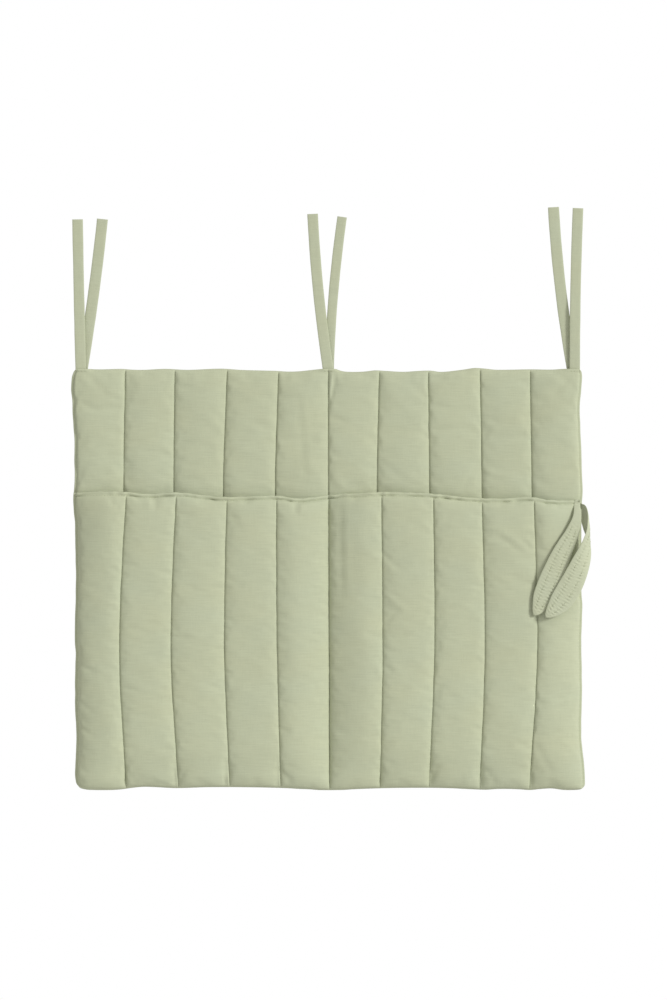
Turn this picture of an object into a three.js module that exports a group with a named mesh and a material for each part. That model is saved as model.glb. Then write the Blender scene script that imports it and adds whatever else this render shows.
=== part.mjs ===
// A quilted hanging pocket organizer: a padded back panel, a padded pocket panel sewn over its lower part,
// six tape ties along the top edge and two leaf-shaped fabric straps at the right end of the pocket mouth.
//
// Units are millimetres. +Z is up, +X is the viewer's right and the front faces -Y.
// The origin is the middle of the top edge, halfway between the front and rear fabrics.
//
// Each padded panel is a sandwich: a fabric in front, wadding, and a fabric behind, stitched through
// along vertical seams so that the wadding stands up in channels between them.

import * as THREE from "three";

// Panel sizes
const panelWidth = 600;
const panelHeight = 495;
const channelCount = 10;
const pocketHeight = 347; // bottom edge to the middle of the mouth
const mouthFall = 4; // how far each end of the mouth lies below or above its middle
const cornerEase = 2; // how far each corner is drawn in

// Layers
const fabricThickness = 0.6;
const seamWadding = 0.8; // wadding crushed under a seam
const clearance = 0.3; // between layers that touch
const seatGap = 0.9; // between the two panels where they are sewn together, with a thread between them

// Channels: how far their crests stand out from the seams
const panelFrontLoft = 5.2;
const panelRearLoft = 3.7;
const pocketFrontLoft = 5.2;
const pocketRearLoft = 1.4; // pressed flat by the back panel's crests
const pocketOpening = 4.9; // free space between the panels' crests, in the middle of a pocket
const sideRun = 46; // from a sewn-down seam to where the pocket stands free
const bottomRun = 46; // the same, from the bottom lip
const seamStrip = 2; // flat strip along each seam, where the thread lies
const lipWidth = 3; // flat edge outside the wadding
const mouthLipWidth = 5; // the same, along the mouth, held by a topstitch
const pocketSeamBow = 6; // how far the outermost pocket seams bow outwards at mid height
const shoulderRun = 11; // from a lip to where a channel's end has risen most of the way
const crestRun = 37; // from a lip to where a channel has its full loft

// Shape of a channel across its width, and of its end along its length, as shares of the loft
const across = [0, 0.2, 0.5, 0.8, 1];
const frontProfile = [0, 0.84, 1, 0.84, 0];
const rearProfile = [0, 1, 1, 1, 0]; // flattened by what it lies against
const shoulderShare = 0.7;

// Threads
const threadWidth = 0.8;
const threadThickness = 0.4;
const threadGap = 0.2; // between a thread and the fabric that it lies on
const topstitchInset = 4; // from the mouth's edge to its topstitch
const bartackThickness = 0.8;

// Tape ties
const tieWidth = 12;
const tieThickness = 1.2;
const leftTieLength = 178;
const middleTieLength = 183;
const rightTieLength = 192;
const tieSteps = 8;
const tieRootGap = 0.4; // above the top edge, so that a tie turns freely
const tiePairGap = 1.75; // between the two ties of a pair, one at the front of the edge and one behind
const tiePairInset = 10; // from the panel's side to the middle of an end pair
const tiePairHalfSpread = 1.5;

// Leaf straps
const leafDrop = 137; // from the mouth's end to the tip of the inner leaf
const neckWidth = 7;
const neckInset = 4.5; // from the panel's side to the middle of the inner strap's neck
const overRootDrop = 5; // from the mouth's end to the end of the outer strap's neck
const neckSwingRoom = 0.7; // how far beside the inner neck the lip is cleared, so that it swings freely
const neckRootDrop = 1; // from the mouth's edge to the end of a neck
const neckSeat = 5; // length of the inner neck that lies on the lip
const leafEdgeThickness = 1;
const leafCrownThickness = 2;
const leafSteps = 20;
const leafStandOff = 2.5; // between the pocket's crests and the strap that lies nearer to them
const leafLayerGap = 3; // between the two leaves
const neckShare = 0.2; // share of a strap's length that is its neck
const stitchingEnd = 0.95; // share of a strap's length where its stitching stops
const leafPivotDrop = 2.5; // from the mouth's edge to where a strap is sewn down
const leafBartackWidth = 3;
const leafBartackHeight = 1.5;

// Half of a sewn-down sandwich
const seamHalf = seamWadding / 2 + clearance + fabricThickness;
const seamThickness = 2 * seamHalf;
const mouthDepth = panelHeight - pocketHeight;
const pocketSeamDepth = seamHalf + panelFrontLoft + pocketOpening + pocketRearLoft + seamHalf;
const pocketCrestDepth = pocketSeamDepth + seamHalf + pocketFrontLoft;

const colours = {
  cotton: 0xb9bfa0,
  wadding: 0xf1efe6,
  thread: 0xaab08e,
};

function material(colour, roughness) {
  return new THREE.MeshStandardMaterial({ color: colour, roughness, metalness: 0 });
}

const cotton = material(colours.cotton, 0.85);
const waddingFibre = material(colours.wadding, 0.95);
const sewingThread = material(colours.thread, 0.7);

// Straight-line interpolation of values at rising stations
function between(stations, values, at) {
  const last = stations.length - 1;
  if (at <= stations[0]) return values[0];
  if (at >= stations[last]) return values[last];
  const next = stations.findIndex((station) => station > at);
  const share = (at - stations[next - 1]) / (stations[next] - stations[next - 1]);
  return values[next - 1] + share * (values[next] - values[next - 1]);
}

function smooth(share) {
  const t = THREE.MathUtils.clamp(share, 0, 1);
  return t * t * (3 - 2 * t);
}

// The columns of points across a panel: both edges, and the stations of each channel
function makeColumns() {
  const inside = Array.from({ length: channelCount }, (_, channel) =>
    across.map((share) => ({ channel, share, edge: false })),
  ).flat();
  const left = { channel: 0, share: 0, edge: true };
  const right = { channel: channelCount - 1, share: 1, edge: true };
  return [left, ...inside, right];
}

// The rows down a panel, as distances from its upper edge
function makeRows(height, upperLip, middleShares) {
  const endRun = [0, shoulderRun, crestRun];
  const upper = endRun.map((run) => upperLip + run);
  const lower = endRun.map((run) => height - lipWidth - run).reverse();
  const middle = middleShares.map((share) => share * height);
  return [0, ...upper, ...middle, ...lower, height];
}

// How far a channel has risen at a distance down the panel, from its two ends
function endTaper(down, height, upperLip) {
  const rise = [0, shoulderShare, 1];
  const run = [0, shoulderRun, crestRun];
  const fromUpper = between(run, rise, down - upperLip);
  const fromLower = between(run, rise, height - lipWidth - down);
  return Math.min(fromUpper, fromLower);
}

// Where a seam lies: seam 0 and seam channelCount are the panel's sides
const middleSeam = channelCount / 2;

function seamX(seam, downShare, bow) {
  const isSide = seam === 0 || seam === channelCount;
  const outward = isSide ? 0 : (seam - middleSeam) / (middleSeam - 1);
  const straight = (seam / channelCount - 0.5) * panelWidth;
  return straight + bow * outward * Math.sin(Math.PI * downShare);
}

function columnX(column, downShare, bow) {
  const { channel, share, edge } = column;
  const leftInset = channel === 0 ? lipWidth : seamStrip / 2;
  const rightInset = channel === channelCount - 1 ? lipWidth : seamStrip / 2;
  const leftSeam = seamX(channel, downShare, bow);
  const rightSeam = seamX(channel + 1, downShare, bow);
  if (edge) return share === 0 ? leftSeam : rightSeam;
  return THREE.MathUtils.lerp(leftSeam + leftInset, rightSeam - rightInset, share);
}

// Each panel is a set of rows and columns with a place for each point
const columns = makeColumns();

const back = {
  height: panelHeight,
  upperLip: lipWidth,
  rows: makeRows(panelHeight, lipWidth, []),
  x: (column, down) => columnX(column, down / panelHeight, 0),
  z: (x, down) => -down,
};

function mouthZ(x) {
  return -mouthDepth - (mouthFall * x) / (panelWidth / 2);
}

const pocket = {
  height: pocketHeight,
  upperLip: mouthLipWidth,
  rows: makeRows(pocketHeight, mouthLipWidth, [0.37, 0.63]),
  x: (column, down) => columnX(column, down / pocketHeight, pocketSeamBow),
  z: (x, down) => THREE.MathUtils.lerp(mouthZ(x), -panelHeight, down / pocketHeight),
};

// The channel at a place across a straight-seamed panel, and the share of its width
function columnAt(x) {
  const seam = Math.floor((x / panelWidth + 0.5) * channelCount);
  const channel = THREE.MathUtils.clamp(seam, 0, channelCount - 1);
  const left = columnX({ channel, share: 0, edge: false }, 0, 0);
  const right = columnX({ channel, share: 1, edge: false }, 0, 0);
  return { channel, share: THREE.MathUtils.clamp((x - left) / (right - left), 0, 1), edge: false };
}

// Depths of the back panel's two outer faces, in front of and behind the origin's plane
function backFrontDepth(x, down) {
  const rise = between(across, frontProfile, columnAt(x).share);
  return seamHalf + panelFrontLoft * rise * endTaper(down, panelHeight, lipWidth);
}

function backRearDepth(x, down) {
  const rise = between(across, rearProfile, columnAt(x).share);
  return seamHalf + panelRearLoft * rise * endTaper(down, panelHeight, lipWidth);
}

// How open the pocket is at a point: 0 where it is sewn to the back panel, 1 where it stands free.
// It is sewn down at its sides, along its middle seam and at its bottom.
function openness(x, down) {
  const downShare = down / pocketHeight;
  const sewnSeams = [0, middleSeam, channelCount];
  const away = Math.min(...sewnSeams.map((seam) => Math.abs(x - seamX(seam, downShare, pocketSeamBow))));
  const sideways = smooth((away - seamStrip / 2) / sideRun);
  const upwards = smooth((pocketHeight - lipWidth - down) / bottomRun);
  return sideways * upwards;
}

function pocketDepths(column, down) {
  const x = pocket.x(column, down);
  const z = pocket.z(x, down);
  const open = openness(x, down);
  const taper = endTaper(down, pocketHeight, mouthLipWidth);
  const rise = between(across, frontProfile, column.share) * taper;
  const lying = backFrontDepth(x, -z) + seatGap;
  const free = pocketSeamDepth - seamHalf - pocketRearLoft * rise;
  const rear = THREE.MathUtils.lerp(lying, free, open);
  const loft = pocketFrontLoft + pocketRearLoft * open;
  return { rear, front: rear + seamThickness + loft * rise };
}

// A closed slab over a panel's points, between two depths. Depths count forwards, towards -Y.
// skip leaves out that many rows and columns at each edge.
function slabGeometry(panel, nearDepth, farDepth, skip = 0) {
  const cols = columns.slice(skip, columns.length - skip);
  const rows = panel.rows.slice(skip, panel.rows.length - skip);
  const lastCol = columns.length - 1;
  const lastRow = panel.rows.length - 1;
  const width = cols.length;
  const place = (column, down, depth) => {
    const index = columns.indexOf(column);
    const isCorner = column.edge && (down === panel.rows[0] || down === panel.rows[lastRow]);
    const ease = isCorner ? cornerEase : 0;
    const x = panel.x(column, down) + (index === lastCol ? -ease : ease);
    const z = panel.z(panel.x(column, down), down) + (down === panel.rows[0] ? -ease : ease);
    return [x, -depth(column, down), z];
  };
  const near = rows.flatMap((down) => cols.map((column) => place(column, down, nearDepth)));
  const far = rows.flatMap((down) => cols.map((column) => place(column, down, farDepth)));
  const faces = [];
  for (let r = 0; r + 1 < rows.length; r += 1) {
    for (let c = 0; c + 1 < width; c += 1) {
      const a = r * width + c;
      const [b, d, e] = [a + 1, a + width, a + width + 1];
      faces.push([a, d, b], [b, d, e]);
      faces.push([a, b, d].map((i) => i + near.length), [b, e, d].map((i) => i + near.length));
    }
  }
  const ring = edgeRing(width, rows.length);
  ring.forEach((a, step) => {
    const b = ring[(step + 1) % ring.length];
    faces.push([a, b, b + near.length], [a, b + near.length, a + near.length]);
  });
  return solidFrom([...near, ...far], faces);
}

// The points round a grid's edge, clockwise from its first
function edgeRing(width, height) {
  const top = Array.from({ length: width - 1 }, (_, i) => i);
  const right = Array.from({ length: height - 1 }, (_, i) => width - 1 + i * width);
  const bottom = Array.from({ length: width - 1 }, (_, i) => width * height - 1 - i);
  const left = Array.from({ length: height - 1 }, (_, i) => width * (height - 1 - i));
  return [...top, ...right, ...bottom, ...left];
}

function solidFrom(points, faces) {
  const geometry = new THREE.BufferGeometry();
  geometry.setAttribute("position", new THREE.Float32BufferAttribute(points.flat(), 3));
  geometry.setIndex(faces.flat());
  geometry.computeVertexNormals();
  return geometry;
}

// A closed body through rings of points that each run the same way round
function loftGeometry(rings) {
  const count = rings[0].length;
  const faces = [];
  for (let r = 0; r + 1 < rings.length; r += 1) {
    for (let k = 0; k < count; k += 1) {
      const next = (k + 1) % count;
      const [a, b] = [r * count + k, r * count + next];
      faces.push([a, b, b + count], [a, b + count, a + count]);
    }
  }
  const lastRing = (rings.length - 1) * count;
  for (let k = 1; k + 1 < count; k += 1) {
    faces.push([0, k + 1, k], [lastRing, lastRing + k, lastRing + k + 1]);
  }
  return solidFrom(rings.flat(), faces);
}

// A bar of rectangular section along a line, with its width along widthAxis and its thickness along Y
function barGeometry(line, widthAxis, width, thickness) {
  const side = widthAxis.clone().multiplyScalar(width / 2);
  const depth = new THREE.Vector3(0, thickness / 2, 0);
  const corners = [
    [-1, -1],
    [-1, 1],
    [1, 1],
    [1, -1],
  ];
  const rings = line.map((point) =>
    corners.map(([s, d]) => point.clone().addScaledVector(side, s).addScaledVector(depth, d).toArray()),
  );
  const run = line.at(-1).clone().sub(line[0]);
  const facesOut = side.clone().cross(depth).dot(run) < 0;
  return loftGeometry(facesOut ? rings : rings.reverse());
}

const organizer = new THREE.Group();

function add(name, geometry, surface) {
  const mesh = new THREE.Mesh(geometry, surface);
  mesh.name = name;
  organizer.add(mesh);
  return mesh;
}

function isEdge(panel, column, down) {
  return column.edge || down === 0 || down === panel.height;
}

// The three layers of a padded panel. At its edge each fabric is turned in, up to the panel's middle.
function addSandwich(panel, frontDepth, rearDepth, names) {
  const middle = (column, down) => (frontDepth(column, down) + rearDepth(column, down)) / 2;
  const frontInside = (column, down) =>
    isEdge(panel, column, down)
      ? middle(column, down) + clearance / 2
      : frontDepth(column, down) - fabricThickness;
  const rearInside = (column, down) =>
    isEdge(panel, column, down)
      ? middle(column, down) - clearance / 2
      : rearDepth(column, down) + fabricThickness;
  const wadFront = (column, down) => frontDepth(column, down) - fabricThickness - clearance;
  const wadRear = (column, down) => rearDepth(column, down) + fabricThickness + clearance;
  add(names.front, slabGeometry(panel, frontDepth, frontInside), cotton);
  add(names.wadding, slabGeometry(panel, wadFront, wadRear, 1), waddingFibre);
  add(names.rear, slabGeometry(panel, rearInside, rearDepth), cotton);
}

addSandwich(
  back,
  (column, down) => backFrontDepth(back.x(column, down), down),
  (column, down) => -backRearDepth(back.x(column, down), down),
  { front: "back_panel_front_fabric", wadding: "back_panel_wadding", rear: "back_panel_rear_fabric" },
);

addSandwich(
  pocket,
  (column, down) => pocketDepths(column, down).front,
  (column, down) => pocketDepths(column, down).rear,
  { front: "pocket_face_fabric", wadding: "pocket_wadding", rear: "pocket_lining_fabric" },
);

// Quilting threads lie along the flat strip of each seam
const alongX = new THREE.Vector3(1, 0, 0);
const alongZ = new THREE.Vector3(0, 0, 1);
const threadLift = threadGap + threadThickness / 2;

// The threads stop short of the turned-in edges
function threadRows(panel) {
  return panel.rows.slice(1, -1);
}

function addBackThreads(seam) {
  const x = seamX(seam, 0, 0);
  const bottom = seam === middleSeam ? mouthDepth - lipWidth : panelHeight - lipWidth;
  const frontLine = [lipWidth, bottom].map(
    (down) => new THREE.Vector3(x, -seamHalf - threadLift, -down),
  );
  const rearLine = [lipWidth, panelHeight - lipWidth].map(
    (down) => new THREE.Vector3(x, seamHalf + threadLift, -down),
  );
  add(`back_seam_thread_${seam}`, barGeometry(frontLine, alongX, threadWidth, threadThickness), sewingThread);
  add(`back_bobbin_thread_${seam}`, barGeometry(rearLine, alongX, threadWidth, threadThickness), sewingThread);
}

function addPocketThread(seam) {
  const column = { channel: seam, share: 0, edge: false };
  const line = threadRows(pocket).map((down) => {
    const x = seamX(seam, down / pocketHeight, pocketSeamBow);
    const depth = pocketDepths(column, down).front + threadLift;
    return new THREE.Vector3(x, -depth, pocket.z(x, down));
  });
  const name = seam === middleSeam ? "pocket_divider_thread" : `pocket_seam_thread_${seam}`;
  add(name, barGeometry(line, alongX, threadWidth, threadThickness), sewingThread);
}

for (let seam = 1; seam < channelCount; seam += 1) {
  addBackThreads(seam);
  addPocketThread(seam);
}

function addMouthTopstitch() {
  const line = columns
    .filter((column) => !column.edge)
    .map((column) => {
      const x = pocket.x(column, topstitchInset);
      const depth = pocketDepths(column, topstitchInset).front + threadLift;
      return new THREE.Vector3(x, -depth, pocket.z(x, topstitchInset));
    });
  const geometry = barGeometry(line, alongZ, threadWidth, threadThickness);
  add("pocket_mouth_topstitch", geometry, sewingThread);
}

addMouthTopstitch();

// Ties: three pairs, each with one tape in front and one behind. lean is how far the tip lies to the
// right of the root, and bow how far the middle lies to the right of the straight line between them,
// both as shares of the tape's length.
const endPairX = panelWidth / 2 - tiePairInset;
const ties = [
  { name: "tie_left_front", pairX: -endPairX, facing: -1, lean: -0.019, bow: 0.002, length: leftTieLength },
  { name: "tie_left_rear", pairX: -endPairX, facing: 1, lean: 0.129, bow: 0.008, length: leftTieLength },
  { name: "tie_middle_front", pairX: 0, facing: -1, lean: -0.091, bow: -0.013, length: middleTieLength },
  { name: "tie_middle_rear", pairX: 0, facing: 1, lean: 0.076, bow: -0.017, length: middleTieLength },
  { name: "tie_right_front", pairX: endPairX, facing: -1, lean: 0.027, bow: -0.005, length: rightTieLength },
  { name: "tie_right_rear", pairX: endPairX, facing: 1, lean: -0.111, bow: -0.01, length: rightTieLength },
];

function addTie({ name, pairX, facing, lean, bow, length }) {
  const rootX = pairX + tiePairHalfSpread * Math.sign(lean);
  const y = (facing * (tiePairGap + tieThickness)) / 2;
  const line = Array.from({ length: tieSteps + 1 }, (_, step) => {
    const share = step / tieSteps;
    const sideways = lean * share + 4 * bow * share * (1 - share);
    return new THREE.Vector3(rootX + length * sideways, y, tieRootGap + length * share);
  });
  add(name, barGeometry(line, alongX, tieWidth, tieThickness), cotton);
}

ties.forEach(addTie);

// A bartack across the front lip under each pair of ties
function addTieBartack(name, pairX) {
  const line = [-1, 1].map(
    (end) => new THREE.Vector3(pairX + (end * tieWidth) / 2, -seamHalf - threadLift, -lipWidth / 2),
  );
  add(name, barGeometry(line.reverse(), alongZ, threadWidth, threadThickness), sewingThread);
}

addTieBartack("tie_bartack_left", -endPairX);
addTieBartack("tie_bartack_middle", 0);
addTieBartack("tie_bartack_right", endPairX);

// Leaf straps, sewn in at the right end of the mouth. A route gives each point's place as shares: to the
// right and up of the mouth's end, of the leaf's drop, and forwards, of the way from the root's depth to
// the hanging leaf's. Its first points are at the root, at their own places.
const corner = new THREE.Vector3(panelWidth / 2, 0, mouthZ(panelWidth / 2));
const underLeafDepth = pocketCrestDepth + leafStandOff + leafCrownThickness / 2;
const overLeafDepth = underLeafDepth + leafCrownThickness + leafLayerGap;
const neckInnerX = corner.x - neckInset - neckWidth / 2 - neckSwingRoom;
const neckLipDepth = pocketDepths(columnAt(neckInnerX), mouthLipWidth).front;
const neckRootDepth = neckLipDepth + threadGap + threadThickness + clearance + leafCrownThickness / 2;

function strapPoint(x, depth, z) {
  return new THREE.Vector3(corner.x + x, -depth, corner.z + z);
}

function strapRoute(rootPoints, rootDepth, leafDepth, shares) {
  const hanging = shares.map(([right, forwards, up]) =>
    strapPoint(right * leafDrop, THREE.MathUtils.lerp(rootDepth, leafDepth, forwards), up * leafDrop),
  );
  return [...rootPoints, ...hanging];
}

const underRoot = [
  strapPoint(-neckInset, neckRootDepth, -neckRootDrop),
  strapPoint(-neckInset, neckRootDepth, -neckRootDrop - neckSeat),
];
const underLeafRoute = strapRoute(underRoot, neckRootDepth, underLeafDepth, [
  [-0.035, 0.3, -0.072],
  [-0.038, 0.58, -0.1],
  [-0.046, 0.83, -0.145],
  [-0.058, 0.97, -0.196],
  [-0.092, 1, -0.304],
  [-0.15, 1, -0.401],
  [-0.195, 1, -0.496],
  [-0.251, 1, -0.645],
  [-0.298, 1, -0.772],
  [-0.359, 1, -0.918],
  [-0.4, 1, -1],
]);

// The outer strap leaves the side seam beside the pocket's lip
const overRootDepth = seamHalf + seatGap + seamHalf;
const overRootOffset = clearance + leafCrownThickness / 2;
const overRoot = [strapPoint(overRootOffset, overRootDepth, -overRootDrop)];
const overLeafRoute = strapRoute(overRoot, overRootDepth, overLeafDepth, [
  [0.03, 0.05, -0.058],
  [0.049, 0.18, -0.1],
  [0.056, 0.44, -0.176],
  [0.051, 0.73, -0.277],
  [0.026, 0.917, -0.387],
  [-0.011, 1, -0.511],
  [-0.102, 1, -0.737],
  [-0.19, 1, -0.891],
  [-0.299, 1, -1.015],
]);

// Width of a strap along its length: a narrow neck, a swelling leaf and a round tip
const widthShares = [0, 0.09, 0.18, 0.28, 0.38, 0.5, 0.65, 0.75, 0.85, 0.93, 0.98, 1];
const widths = [neckWidth, 8.5, 12, 16.5, 20, 23.5, 27, 27.5, 24.5, 17, 9, 1];

function strapWidth(share) {
  return between(widthShares, widths, share);
}

// How far each strap is turned about its line, in degrees, at shares of its length. The outer one leaves
// the side seam edge-on and has turned to face the front by its middle.
const turnShares = [0, 0.2, 0.3, 0.42, 0.55];
const underTurns = [0, 0, 0, 0, 0];
const overTurns = [-90, -86, -56, -27, 0];

// A body swept along a strap's route. section gives its outline at a share of the length, as distances
// across the strap and out of its front.
function sweepGeometry(route, turns, shares, section) {
  const curve = new THREE.CatmullRomCurve3(route, false, "centripetal");
  const rings = shares.map((share) => {
    const centre = curve.getPointAt(share);
    const tangent = curve.getTangentAt(share);
    const level = new THREE.Vector3(0, -1, 0).cross(tangent).normalize();
    const turn = THREE.MathUtils.degToRad(between(turnShares, turns, share));
    const side = level.applyAxisAngle(tangent, turn);
    const front = tangent.clone().cross(side);
    return section(share).map(([across, out]) =>
      centre.clone().addScaledVector(side, across).addScaledVector(front, out).toArray(),
    );
  });
  return loftGeometry(rings);
}

// A strap is crowned along its middle
function strapSection(share) {
  const half = strapWidth(share) / 2;
  const edge = leafEdgeThickness / 2;
  const crown = leafCrownThickness / 2;
  return [
    [-half, -edge],
    [0, -crown],
    [half, -edge],
    [half, edge],
    [0, crown],
    [-half, edge],
  ];
}

// A line of stitching lies along the crown of each leaf
function stitchSection() {
  const half = threadWidth / 2;
  const low = leafCrownThickness / 2 + threadGap;
  const high = low + threadThickness;
  return [
    [-half, low],
    [half, low],
    [half, high],
    [-half, high],
  ];
}

function addLeafStrap(name, route, turns) {
  const shares = Array.from({ length: leafSteps + 1 }, (_, step) => smooth(step / leafSteps));
  const stitched = shares.filter((share) => share > neckShare && share < stitchingEnd);
  add(name, sweepGeometry(route, turns, shares, strapSection), cotton);
  add(`${name}_stitching`, sweepGeometry(route, turns, stitched, stitchSection), sewingThread);
}

addLeafStrap("leaf_strap_under", underLeafRoute, underTurns);
addLeafStrap("leaf_strap_over", overLeafRoute, overTurns);

// The bartack that holds the inner strap's neck on the lip
function addLeafBartack() {
  const depth = neckRootDepth + leafCrownThickness / 2 + clearance + bartackThickness / 2;
  const z = corner.z - leafPivotDrop;
  const line = [-1, 1].map(
    (end) => new THREE.Vector3(corner.x - neckInset + (end * leafBartackWidth) / 2, -depth, z),
  );
  add("leaf_bartack", barGeometry(line, alongZ, leafBartackHeight, bartackThickness), sewingThread);
}

addLeafBartack();

export default organizer;
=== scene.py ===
# %% [markdown]
# # A quilted hanging pocket organizer
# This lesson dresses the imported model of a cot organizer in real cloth: a padded back panel, a padded
# pocket panel sewn over it, six tape ties and two leaf-shaped straps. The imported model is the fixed
# frame that every piece is measured from, so it is loaded first and nothing in it is moved.

# %% Load the frame
import math
import random
from bisect import bisect_right

import bmesh
import bpy
from mathutils import Matrix, Vector, noise
from mathutils.bvhtree import BVHTree


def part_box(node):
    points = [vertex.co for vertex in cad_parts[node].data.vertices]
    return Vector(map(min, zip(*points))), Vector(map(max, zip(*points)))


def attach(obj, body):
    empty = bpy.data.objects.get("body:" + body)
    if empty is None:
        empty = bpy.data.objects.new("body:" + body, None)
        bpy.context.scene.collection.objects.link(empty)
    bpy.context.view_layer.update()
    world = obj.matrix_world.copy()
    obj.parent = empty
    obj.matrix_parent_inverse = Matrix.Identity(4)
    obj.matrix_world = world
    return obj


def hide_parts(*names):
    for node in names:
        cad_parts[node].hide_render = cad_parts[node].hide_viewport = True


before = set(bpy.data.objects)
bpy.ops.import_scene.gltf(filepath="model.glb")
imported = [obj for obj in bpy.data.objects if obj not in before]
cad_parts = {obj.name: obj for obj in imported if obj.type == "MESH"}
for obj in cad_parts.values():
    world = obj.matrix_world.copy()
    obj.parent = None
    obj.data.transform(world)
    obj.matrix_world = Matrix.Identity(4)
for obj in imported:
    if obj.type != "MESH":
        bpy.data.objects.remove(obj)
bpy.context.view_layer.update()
scene = bpy.context.scene
scene.view_settings.view_transform = "Standard"

# %% [markdown]
# ## Camera
# The photograph looks straight at the front from far away, so that the sides hardly converge. A long
# lens five metres off does the same. The view is level, and it is aimed a little above the panel's
# middle, because the ties stand up above it.

# %% Camera
camera_distance = 5.0
view_height = 1.178  # metres of the object's plane that the picture's long side covers
view_middle_x, view_middle_z = 0.0059, -0.1535
camera_data = bpy.data.cameras.new("front_camera")
camera_data.lens = camera_data.sensor_width * camera_distance / view_height
camera_data.clip_end = 50
camera = bpy.data.objects.new("front_camera", camera_data)
camera.location = (view_middle_x, -camera_distance, view_middle_z)
camera.rotation_euler = (math.radians(90), 0, 0)
scene.collection.objects.link(camera)
scene.camera = camera
print("camera lens", round(camera_data.lens, 1))

# %% [markdown]
# ## Light and floor
# One big soft lamp stands to the right and a little above, as in the photograph, where the right side
# of each channel is bright and the left side is in shade. The room's light fills the rest. The camera,
# glossy surfaces and clear ones see a white room. The pale floor lies well below the hanging panel.

# %% Key light
towards_key = Vector((0.74, -0.56, 0.36))
key_data = bpy.data.lights.new("soft_key", "SUN")
key_data.energy = 2.25
key_data.angle = math.radians(15)
key = bpy.data.objects.new("soft_key", key_data)
key.rotation_euler = towards_key.to_track_quat("Z", "Y").to_euler()
scene.collection.objects.link(key)
print("key light", key_data.energy)


# %% Room
def add_node(tree, kind, inputs=(), **settings):
    """Makes a node, sets what it does, and gives each of its inputs a value or a link."""
    node = tree.nodes.new(kind)
    for key, value in settings.items():
        setattr(node, key, value)
    for key, value in dict(inputs).items():
        if isinstance(value, bpy.types.NodeSocket):
            tree.links.new(value, node.inputs[key])
        else:
            node.inputs[key].default_value = value
    return node


def combine(tree, operation, *values):
    """Joins any number of values with a math node for each step."""
    total, *others = values
    for value in others:
        join = add_node(tree, "ShaderNodeMath", {0: total, 1: value}, operation=operation)
        total = join.outputs[0]
    return total


room = bpy.data.worlds.new("white_room")
room.use_nodes = True
scene.world = room
room_tree = room.node_tree
room_light = room_tree.nodes["Background"]
room_light.inputs["Color"].default_value = (1, 0.99, 0.975, 1)
room_light.inputs["Strength"].default_value = 0.6
room_white = add_node(room_tree, "ShaderNodeBackground", {"Color": (1, 1, 1, 1)})
ray = add_node(room_tree, "ShaderNodeLightPath").outputs
seeing_rays = ray["Is Camera Ray"], ray["Is Glossy Ray"], ray["Is Transmission Ray"]
seen = combine(room_tree, "MAXIMUM", *seeing_rays)
choose = add_node(room_tree, "ShaderNodeMixShader",
                  {0: seen, 1: room_light.outputs[0], 2: room_white.outputs[0]})
room_tree.links.new(choose.outputs[0], room_tree.nodes["World Output"].inputs["Surface"])
print("room nodes", len(room_tree.nodes))


# %% Floor
def new_material(name, colour, roughness):
    material = bpy.data.materials.new(name)
    material.use_nodes = True
    shader = material.node_tree.nodes["Principled BSDF"]
    shader.inputs["Base Color"].default_value = (*colour, 1)
    shader.inputs["Roughness"].default_value = roughness
    return material, material.node_tree, shader


def add_object(name, build):
    """Turns a finished bmesh into an object of the scene."""
    mesh = bpy.data.meshes.new(name)
    build.to_mesh(mesh)
    build.free()
    piece = bpy.data.objects.new(name, mesh)
    scene.collection.objects.link(piece)
    return piece


floor_depth, floor_radius = 1.05, 1.0
floor_build = bmesh.new()
bmesh.ops.create_circle(floor_build, cap_ends=True, segments=96, radius=floor_radius)
bmesh.ops.translate(floor_build, verts=floor_build.verts, vec=(0, 0, -floor_depth))
floor = add_object("floor", floor_build)
floor.data.materials.append(new_material("pale_floor", (0.86, 0.86, 0.85), 0.9)[0])
print("floor", floor_depth, "m below the panel's upper edge")

# %% [markdown]
# ## Cotton and thread
# The cloth is a matt plain-weave cotton in a greyish sage green. Its yarns are uneven, and those that
# run across the panel show as faint long slubs. Colour drifts slightly from place to place. All this
# follows the cloth's own map, which holds metres, so that ties and leaves carry the same weave as the
# panels. The relief of the yarns is a bump, and every fold and pucker is real shape.

# %% Patterns, tone and relief
YARN_PITCH = 0.0006  # metres
WAVE_LENGTH = 0.314  # metres between the bands of a wave texture whose scale is 1


def noise_on(tree, at, scale, detail):
    """Noise that repeats about scale times a metre, with a number for each direction."""
    mapping = add_node(tree, "ShaderNodeMapping", {"Vector": at, "Scale": scale})
    cloud = {"Vector": mapping.outputs[0], "Scale": 1.0, "Detail": detail}
    return add_node(tree, "ShaderNodeTexNoise", cloud).outputs["Fac"]


def yarn_waves(tree, at, direction):
    bands = {"Vector": at, "Scale": WAVE_LENGTH / YARN_PITCH, "Distortion": 1.2,
             "Detail": 1.0, "Detail Scale": 2.0}
    return add_node(tree, "ShaderNodeTexWave", bands, bands_direction=direction).outputs["Fac"]


def ramp_between(tree, factor, low, high, start=0.3, end=0.7):
    limits = {"Value": factor, "From Min": start, "From Max": end, "To Min": low, "To Max": high}
    return add_node(tree, "ShaderNodeMapRange", limits).outputs["Result"]


def give_colour(tree, shader, colour, tone):
    """Gives the shader a colour times a tone."""
    tinted = add_node(tree, "ShaderNodeVectorMath", {0: colour, "Scale": tone}, operation="SCALE")
    tree.links.new(tinted.outputs[0], shader.inputs["Base Color"])


def give_relief(tree, shader, height, strength, distance):
    relief = {"Height": height, "Strength": strength, "Distance": distance}
    bump = add_node(tree, "ShaderNodeBump", relief)
    tree.links.new(bump.outputs["Normal"], shader.inputs["Normal"])


print("a yarn every", round(YARN_PITCH * 1000, 2), "mm")


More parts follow.
